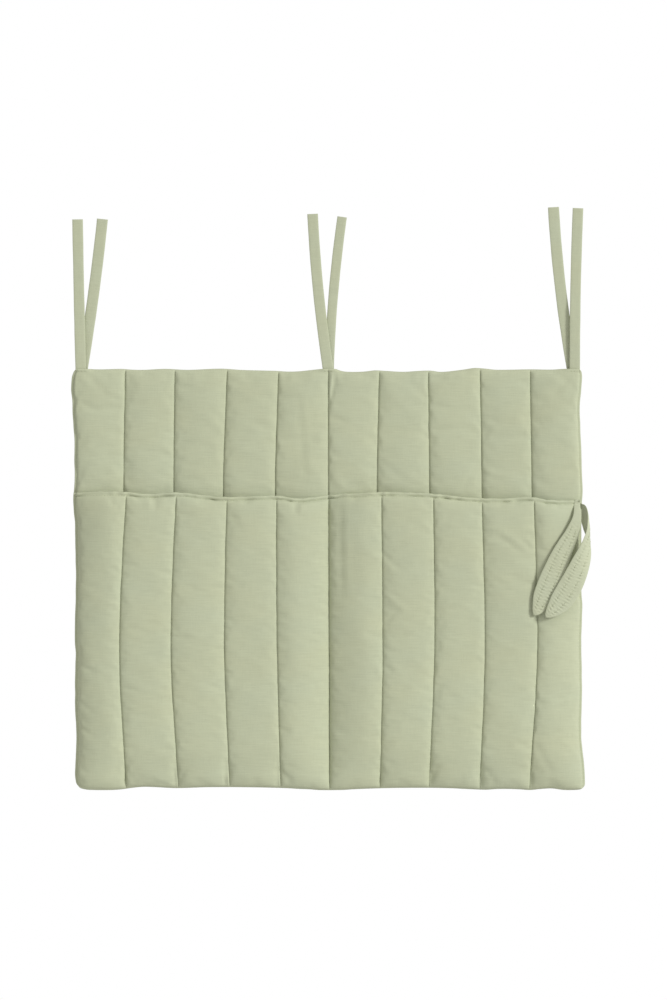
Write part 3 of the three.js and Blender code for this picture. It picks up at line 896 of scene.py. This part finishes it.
def make_pad(name, front_layer, rear_layer, rows):
    first_column, first_row = len(lip_steps), 4
    steps_across = (len(columns) - 1 - 2 * first_column) // 2
    steps_along = (len(rows) - 1 - 2 * first_row) // 2
    inset = CLOTH_THICKNESS + WADDING_GAP
    size = len(columns), len(rows)
    around = range(-2, 3)

    def point(layer, i, j):
        return layer.data.vertices[grid_index(i, j, *size)].co

    def most_sunken(layer, i, j, facing):
        """The deepest place of the cloth round a grid point, so that the pad stays inside its folds."""
        near = [point(layer, i + di, j + dj).y / MM for di in around for dj in around
                if 0 <= i + di < size[0] and 0 <= j + dj < size[1]]
        return (max(near) if facing < 0 else min(near)) - facing * inset

    def place(i, j, face):
        column, row = first_column + 2 * i, first_row + 2 * j
        here = (point(front_layer, column, row) + point(rear_layer, column, row)) / (2 * MM)
        front_y = most_sunken(front_layer, column, row, -1)
        rear_y = most_sunken(rear_layer, column, row, 1)
        middle = (front_y + rear_y) / 2
        if i in (0, steps_across) or j in (0, steps_along):
            front_y = rear_y = middle + THIN_HALF
        elif rear_y - front_y < THIN_PAD:
            front_y, rear_y = middle - THIN_HALF, middle + THIN_HALF
        return (here.x, front_y if face > 0 else rear_y, here.z)

    def cloth_at(i, j):
        return (i * 5, -j * 5)

    return closed_pair(name, steps_across, steps_along, place, cloth_at)


back_pad = make_pad("back_pad", back_front_cloth, back_rear_cloth, back_rows)
pocket_pad = make_pad("pocket_pad", pocket_face_cloth, pocket_lining_cloth, pocket_rows)
finish_piece(back_pad, wadding, "wadding", "panel", "back_panel_wadding")
finish_piece(pocket_pad, wadding, "wadding", "panel", "pocket_wadding")
print("pads", len(back_pad.data.polygons), len(pocket_pad.data.polygons))

# %% [markdown]
# ## Stitches
# A seam is a row of separate short stitches, each sunk a little into the cloth. One stitch is a small
# round ball drawn out long, with few faces, because there are thousands. Each seam's stitches are one
# piece. A ray straight at the cloth finds the depth where each end of a stitch lies.

# %% Places along a line
STITCH_PITCH, STITCH_LENGTH, STITCH_WIDTH, STITCH_HEIGHT = 3.3, 2.5, 0.75, 0.5


def running_lengths(points):
    """How far along a line each of its points lies."""
    lengths = [0.0]
    for a, b in zip(points, points[1:]):
        lengths.append(lengths[-1] + (Vector(b) - Vector(a)).length)
    return lengths


def straight(stations, values, at):
    """A straight line from value to value."""
    at = min(max(at, stations[0]), stations[-1])
    i = max(next((k for k, s in enumerate(stations) if s >= at), 1), 1)
    share = (at - stations[i - 1]) / max(stations[i] - stations[i - 1], 1e-9)
    return values[i - 1] + share * (values[i] - values[i - 1])


def spaced(points, pitch):
    """Pairs of places on a line of points: where each stitch goes in and comes out."""
    lengths = running_lengths(points)
    axes = list(zip(*points))
    count = int(lengths[-1] / pitch)
    pairs = []
    for k in range(count):
        start = (k + 0.5) * lengths[-1] / count
        ends = (start - STITCH_LENGTH / 2, start + STITCH_LENGTH / 2)
        pairs.append([tuple(straight(lengths, axis, end) for axis in axes) for end in ends])
    return pairs


print("stitches in 100 mm", len(spaced([(0, 0), (100, 0)], STITCH_PITCH)))


# %% Sew along a line
def stitches(name, pairs):
    """pairs holds, for each stitch, its two ends and the way out of the cloth, in millimetres."""
    build = bmesh.new()
    for start, end, out in pairs:
        run = (end - start).normalized()
        side = run.cross(out).normalized()
        lift = side.cross(run)
        turn = Matrix((side, run, lift)).transposed().to_4x4()
        size = Matrix.Diagonal((STITCH_WIDTH / 2, (end - start).length / 2, STITCH_HEIGHT / 2, 1))
        centre = Matrix.Translation((start + end) / 2)
        place = Matrix.Scale(MM, 4) @ centre @ turn @ size
        bmesh.ops.create_icosphere(build, subdivisions=1, radius=1.0, matrix=place)
    for face in build.faces:
        face.smooth = True
    return add_object(name, build)


def cloth_tree(layer):
    mesh = layer.data
    return BVHTree.FromPolygons([v.co for v in mesh.vertices], [p.vertices for p in mesh.polygons])


RAY_START = 0.2  # metres in front of the panel or behind it
LIFT = 0.1


def depth_on(tree, facing, x, z):
    """Where a ray straight at the cloth meets it."""
    start = Vector((x * MM, facing * RAY_START, z * MM))
    hit = tree.ray_cast(start, Vector((0, -facing, 0)))[0]
    return hit / MM if hit else None


def sew_on(name, tree, facing, line, node):
    out = Vector((0, facing, 0))
    pairs = []
    for start, end in spaced(line, STITCH_PITCH):
        ends = [depth_on(tree, facing, *place) for place in (start, end)]
        if None not in ends:
            pairs.append((ends[0] + out * LIFT, ends[1] + out * LIFT, out))
    finish_piece(stitches(name, pairs), thread, "thread", "panel", node)
    return len(pairs)


cloths = back_front_cloth, back_rear_cloth, pocket_face_cloth
back_tree, rear_tree, face_tree = map(cloth_tree, cloths)
print("cloths to sew on", len(cloths))

# %% Quilting seams
STEP = 3  # millimetres between the points that a seam's line is worked out at
SEAM_END, FREE_SEAM_END = 490, 140  # the middle one is sewn through both panels below the mouth
TOPSTITCH_DOWN = 4.4
TACK_HALF, TACK_DOWN = 5.6, 1.6
stitch_count = 0
for seam in range(1, CHANNELS):
    number = f"_{seam}"
    back_line = [(back_seam_x(seam, -down), -down) for down in range(STEP, SEAM_END, STEP)]
    bottom = FREE_SEAM_END if seam == MIDDLE_SEAM else SEAM_END
    front_line = [place for place in back_line if -place[1] < bottom]
    top = mouth_z(pocket_seam_x(seam, -MOUTH_DOWN))
    pocket_line = [(pocket_seam_x(seam, top - down), top - down) for down in range(5, 340, STEP)]
    node = "pocket_divider_thread" if seam == MIDDLE_SEAM else "pocket_seam_thread" + number
    stitch_count += (
        sew_on("back_stitches" + number, back_tree, -1, front_line, "back_seam_thread" + number)
        + sew_on("bobbin_stitches" + number, rear_tree, 1, back_line, "back_bobbin_thread" + number)
        + sew_on("pocket_stitches" + number, face_tree, -1, pocket_line, node))
mouth_line = [(x, mouth_z(x) - TOPSTITCH_DOWN) for x in range(-297, 298, STEP)]
stitch_count += sew_on("mouth_topstitch", face_tree, -1, mouth_line, "pocket_mouth_topstitch")
for side, x in (("left", -290), ("middle", 0), ("right", 290)):
    tack_line = [(x - TACK_HALF, -TACK_DOWN), (x + TACK_HALF, -TACK_DOWN)]
    stitch_count += sew_on("tie_tack_" + side, back_tree, -1, tack_line, "tie_bartack_" + side)
print("stitches", stitch_count)

# %% [markdown]
# ## Thickness of the cloth
# Solidify gives each layer the thickness of cotton, inwards, so that the seams stay where they are.
# PANEL_CUT and POCKET_CUT hold what was cut for each layer of cloth: the panel and what the quilting
# takes up, with its seam allowances.

PANEL_CUT, POCKET_CUT = (0.63, 0.52), (0.64, 0.37)  # metres


def thicken(layer, thickness):
    shell = layer.modifiers.new("cloth_thickness", "SOLIDIFY")
    shell.thickness = thickness * MM
    shell.offset = -1
    shell.use_rim = True
    bpy.context.view_layer.objects.active = layer
    layer.select_set(True)
    bpy.ops.object.modifier_apply(modifier=shell.name)
    layer.select_set(False)


for layer, node, flat_size in (
        (back_front_cloth, "back_panel_front_fabric", PANEL_CUT),
        (back_rear_cloth, "back_panel_rear_fabric", PANEL_CUT),
        (pocket_face_cloth, "pocket_face_fabric", POCKET_CUT),
        (pocket_lining_cloth, "pocket_lining_fabric", POCKET_CUT)):
    thicken(layer, CLOTH_THICKNESS)
    finish_piece(layer, panel_cotton, "cotton", "panel", node)
    changed = layer.data.validate(verbose=False)
    print(layer.name, len(layer.data.polygons), "faces, repaired:", changed)

# %% [markdown]
# ## Tape ties
# A tie is a strip of the same cotton, folded to a flat tape and pressed. It is thin and even, rounded
# at its folded edges and square at its end, and it has kept a few soft cross creases from the packing.
# A ribbon is built as a front and a rear grid along a line, with a side vector at each step.

# %% Lines and frames
def resample(points, count):
    """count + 1 points at equal lengths on a smooth line through the given ones."""
    lengths = running_lengths(points)
    axes = list(zip(*points))
    return [Vector([flow(lengths, axis, lengths[-1] * k / count) for axis in axes])
            for k in range(count + 1)]


def none_at(share):
    return 0.0


def frames_along(centres, twist=none_at):
    """(centre, side, out) at each point. Out faces the viewer where the line hangs or stands."""
    last = len(centres) - 1
    frames = []
    for k, centre in enumerate(centres):
        tangent = (centres[min(k + 1, last)] - centres[max(k - 1, 0)]).normalized()
        side = Vector((0, -1, 0)).cross(tangent).normalized()
        side = Matrix.Rotation(twist(k / last), 3, tangent) @ side
        frames.append((centre, side, tangent.cross(side)))
    return frames


# %% Ribbons
FLATTEST = 0.02  # radians of curl, below which a ribbon counts as flat


def curl(half, u, angle):
    """Where a point across a curled ribbon lies: sideways, backwards and its lean."""
    if angle < FLATTEST:
        return half * u, 0.0, 0.0
    radius, lean = half / (angle / 2), u * angle / 2
    return radius * math.sin(lean), radius * (1 - math.cos(lean)), lean


def on_ribbon(frame_at, half, u, angle, height):
    """A place at a height over a curled ribbon, u from -1 to 1 across, and the way out there."""
    centre, side, out = frame_at
    sideways, backwards, lean = curl(half, u, angle)
    outwards = out * math.cos(lean) + side * math.sin(lean)
    return centre + side * sideways - out * backwards + outwards * height, outwards


def ribbon(name, frames, half_width, heights, across_steps, cloth_start, cup=none_at):
    """heights(u, share) gives how far the front and the rear stand out.
    cup(share) is the angle that the ribbon is curled through across its width."""
    last = len(frames) - 1

    def across(i):
        return -math.cos(math.pi * i / across_steps)

    def place(i, j, face):
        share = j / last
        front, rear = heights(across(i), share)
        height = front if face > 0 else -rear
        if i in (0, across_steps) or j in (0, last):
            height = (front - rear) / 2
        return on_ribbon(frames[j], half_width(share), across(i), cup(share), height)[0]

    def cloth_at(i, j):
        along = (frames[j][0] - frames[0][0]).length
        return (cloth_start + half_width(j / last) * across(i), -along)

    return closed_pair(name, across_steps, last, place, cloth_at)


print("a ribbon 2 wide, curled by half a turn, spans", round(2 * curl(1, 1, math.pi)[0], 2))

# %% Ties
# name, root's x, facing, lean and bow as shares of the length, half width, length, how much of it the
# tie's crumpled root takes up, and the z and size of creases
ties = [
    ("tie_left_front", -291.8, -1, -0.0206, -0.001, 6.25, 178, 1.4,
     [(42, 0.5), (96, -0.6), (151, 0.4)]),
    ("tie_left_rear", -290.4, 1, 0.135, 0.008, 6.55, 178, 0.8,
     [(60, 0.6), (118, 0.5), (160, -0.5)]),
    ("tie_middle_front", -0.3, -1, -0.1006, -0.013, 6.3, 183, 0,
     [(50, 0.5), (104, -0.7), (139, 0.5)]),
    ("tie_middle_rear", 0.8, 1, 0.0837, -0.014, 5.6, 183, 3.2,
     [(44, -0.4), (90, 0.6), (150, 0.5)]),
    ("tie_right_front", 290, -1, 0.02, -0.005, 6.2, 192, 2.2,
     [(36, 0.4), (120, 0.6), (168, -0.5)]),
    ("tie_right_rear", 287.5, 1, -0.1167, -0.015, 6.55, 192, 0.8,
     [(70, 0.6), (131, -0.5), (176, 0.4)]),
]
TIE_HALF_THICKNESS, TIE_GAP = 0.55, 1.475  # the gap is from the panel's plane to a tie's middle
TIE_STEPS, TIE_ACROSS = 72, 14
HEM_LENGTH = 8.5


def tie_centres(root_x, facing, lean, bow, length, root_take, folds):
    """The line along the middle of a tie, which leans, bows, and lifts at its creases."""
    centres = []
    even = [k / TIE_STEPS for k in range(1, TIE_STEPS)]
    for share in [0, 0.002, 0.004, *even, 0.996, 0.998, 1]:
        z = (length - root_take) * share + 0.4 - 0.7 * (1 - smooth(share * 20))
        x = root_x + length * (lean * share + 4 * bow * share * (1 - share))
        bend = sum(size * bell(z - at, 5) for at, size in folds)
        away = 0.9 * (0.5 + 0.5 * wave(root_x + lean * 500, z, 37, 9)) * smooth(share / 0.15)
        centres.append(Vector((x, facing * (TIE_GAP + away + 0.5 * abs(bend)), z)))
    return centres


for name, root_x, facing, lean, bow, half_width, length, root_take, folds in ties:
    frames = frames_along(tie_centres(root_x, facing, lean, bow, length, root_take, folds))
    seed = root_x + lean * 400

    def tie_half_width(share):
        return half_width + 0.18 * wave(seed, share * length, 22, 12)

    def tie_heights(u, share):
        edge = (1 - abs(u) ** 4) ** 0.5
        dent = 0.16 * wave(u * 6 + seed, share * length, 7, 13)
        hem = 0.12 * smooth((share * length - (length - HEM_LENGTH)) / 0.8)
        body = TIE_HALF_THICKNESS * edge + hem * edge
        return body + dent * edge, body - dent * edge * 0.7

    cloth_start = root_x + lean * 100
    tie = ribbon(name + "_tape", frames, tie_half_width, tie_heights, TIE_ACROSS, cloth_start)
    finish_piece(tie, tape_cotton, "cotton", name, name)
print("ties", len(ties))

# %% [markdown]
# ## Leaf straps
# Each leaf is two layers of cotton sewn together round a little wadding, turned right side out and
# quilted with two rows of stitches along its length. The rows gather it into short slanting puckers.
# A narrow neck carries it to the end of the pocket's mouth, and the outer one loops out past the edge.

# %% Leaf routes
# Routes of x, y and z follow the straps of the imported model. Past its root a route comes from
# shares: of the leaf's drop to the right, of its depths forwards, and of the drop upwards.
corner = Vector((300, 0, -152))
LEAF_DROP, LEAF_DRIFT, DRIFT_START = 137.0, 2.8, 0.35
under_depths, over_depths = (10.0, 23.1), (8.5, 26.5)
under_root = [(293.2, -10.0, -153), (292.4, -10.0, -158)]
over_root = [(296.6, -8.5, -159.8)]
under_shares = [(-0.057, 0.27, -0.072), (-0.057, 0.48, -0.1), (-0.0585, 0.66, -0.145),
                (-0.07, 0.77, -0.2), (-0.107, 0.88, -0.304), (-0.157, 0.96, -0.401),
                (-0.203, 1, -0.496), (-0.26, 1, -0.645), (-0.307, 1, -0.772),
                (-0.368, 1, -0.918), (-0.41, 1, -1)]
over_shares = [(-0.003, 0.05, -0.07), (0.009, 0.18, -0.106), (0.026, 0.44, -0.176),
               (0.042, 0.73, -0.277), (0.029, 0.917, -0.387), (-0.013, 1, -0.511),
               (-0.108, 1, -0.737), (-0.2, 1, -0.891), (-0.31, 1, -1.015)]


def leaf_route(root, depths, shares):
    """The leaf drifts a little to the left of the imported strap, more towards its tip."""
    low, high = depths
    drift_run = 1 - DRIFT_START
    return root + [
        (corner.x + LEAF_DROP * right - LEAF_DRIFT * max(0, (-up - DRIFT_START) / drift_run) ** 2,
         -(low + (high - low) * forwards), corner.z + LEAF_DROP * up)
        for right, forwards, up in shares]


under_route = leaf_route(under_root, under_depths, under_shares)
over_route = leaf_route(over_root, over_depths, over_shares)
print("leaf routes", round(running_lengths(under_route)[-1]), round(running_lengths(over_route)[-1]))

# %% Leaf widths, turn and curl
# Widths in millimetres, turns and cups in degrees, all at shares of the leaf's length.
width_shares = [0, 0.09, 0.18, 0.28, 0.38, 0.5, 0.65, 0.75, 0.85, 0.93, 0.98, 1]
blade_widths = [20, 23.5, 27, 27.5, 24.5, 16, 7.5, 0.6]
under_widths = [6.6, 8, 11.2, 16.2, *blade_widths]
over_widths = [6.5, 13.4, 15.8, 17.6, *blade_widths]
turn_shares = [0, 0.07, 0.145, 0.22, 0.3, 0.4, 0.52, 0.67]
turns = [-150, -150, -134, -104, -66, -34, -12, 0]
cups = [80, 125, 150, 130, 76, 34, 12, 0]


def half_widths(widths):
    return lambda share: flow(width_shares, widths, share) / 2


def angles(degrees):
    return lambda share: math.radians(flow(turn_shares, degrees, share))


print("widest", max(under_widths), "mm")

# %% Relief of a leaf
ROW_PLACE, PUCKER_PITCH, THINNEST = 0.4, 3.9, 0.2
NECK_END, LEAFY_RUN, TIP_RUN = 0.16, 0.12, 0.05


def leaf_heights(half_width, seed, length):
    """Makes the function that says how far a leaf's front and rear stand out at a place."""
    def heights(u, share):
        half, down = half_width(share), share * length
        leafy = smooth((share - NECK_END) / LEAFY_RUN) * smooth((1 - share) / TIP_RUN)
        round_edge = math.sqrt(max(1 - u * u, 0)) ** 0.7
        body = (0.7 + 0.55 * leafy) * round_edge * min(1, half / 4)
        row, beside = (bell(abs(u) - ROW_PLACE, reach) for reach in (0.07, 0.24))
        slant = down + 2.2 * abs(u) + 0.7 * wave(seed, down, 11, 3)
        rib = math.sin(2 * math.pi * slant / PUCKER_PITCH + seed + (2.1 if u > 0 else 0))
        uneven = 0.75 + 0.5 * wave(u * 3 + seed, down, 9, 4)
        rough = 0.2 * wave(u * half + seed * 9, down, 6, 17)
        return [max(body + leafy * (size * uneven * rib * beside - 0.08 * row) + rough * round_edge,
                    THINNEST * round_edge) for size in (0.6, 0.35)]
    return heights


# %% Rows of stitches on a leaf
LEAF_PITCH, LEAF_STITCH, STITCH_LIFT = 3.0, 2.2, 0.05
ROW_START, ROW_END = 0.24, 0.95


def leaf_row(frames, length, half_width, heights, side, front, cup):
    """One row of stitches along a leaf: the two ends of each, and the way out of the cloth."""
    last = len(frames) - 1

    def on_leaf(share):
        k = min(share * last, last - 1e-6)
        i = int(k)
        frame_at = [a.lerp(b, k - i) for a, b in zip(frames[i], frames[i + 1])]
        u = side * ROW_PLACE
        height = heights(u, share)[0 if front else 1] + STITCH_LIFT
        facing = 1 if front else -1
        place, out = on_ribbon(frame_at, half_width(share), u, cup(share), facing * height)
        return place, out * facing

    pitch, run = LEAF_PITCH / length, LEAF_STITCH / length
    row = []
    for k in range(int((ROW_END - ROW_START) / pitch)):
        share = ROW_START + k * pitch
        (start, out), (end, _) = on_leaf(share), on_leaf(share + run)
        row.append((start, end, out))
    return row


# %% Leaves
LEAF_STEPS, LEAF_ACROSS = 150, 30


def make_leaf(name, route, half_width, twist, cup, seed):
    frames = frames_along(resample(route, LEAF_STEPS), twist)
    length = running_lengths([centre for centre, _, _ in frames])[-1]
    heights = leaf_heights(half_width, seed, length)
    leaf = ribbon(name + "_cloth", frames, half_width, heights, LEAF_ACROSS, seed * 50, cup)
    finish_piece(leaf, leaf_cotton, "cotton", name, name)
    rows = []
    for side in (-1, 1):
        for front in (True, False):
            rows += leaf_row(frames, length, half_width, heights, side, front, cup)
    sewn = stitches(name + "_stitches", rows)
    finish_piece(sewn, thread, "thread", name, name + "_stitching")
    print(name, round(length), "mm long", len(leaf.data.polygons), "faces", len(rows), "stitches")


make_leaf("leaf_strap_under", under_route, half_widths(under_widths), none_at, none_at, 1.0)
make_leaf("leaf_strap_over", over_route, half_widths(over_widths), angles(turns), angles(cups), 2.6)

# %% Leaf bartack
TACK_ROWS, TACK_INSET = 5, 0.2
tack_low, tack_high = (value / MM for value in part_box("leaf_bartack"))
tack_pairs = []
for k in range(TACK_ROWS):
    drop = k * (tack_high.z - tack_low.z - 2 * TACK_INSET) / (TACK_ROWS - 1)
    y, z = tack_low.y + 0.3, tack_high.z - TACK_INSET - drop
    ends = (Vector((x, y, z)) for x in (tack_low.x, tack_high.x))
    tack_pairs.append((*ends, Vector((0, -1, 0))))
leaf_tack = stitches("leaf_tack", tack_pairs)
finish_piece(leaf_tack, thread, "thread", "panel", "leaf_bartack")
print("leaf tack at", [round(v) for v in tack_low])
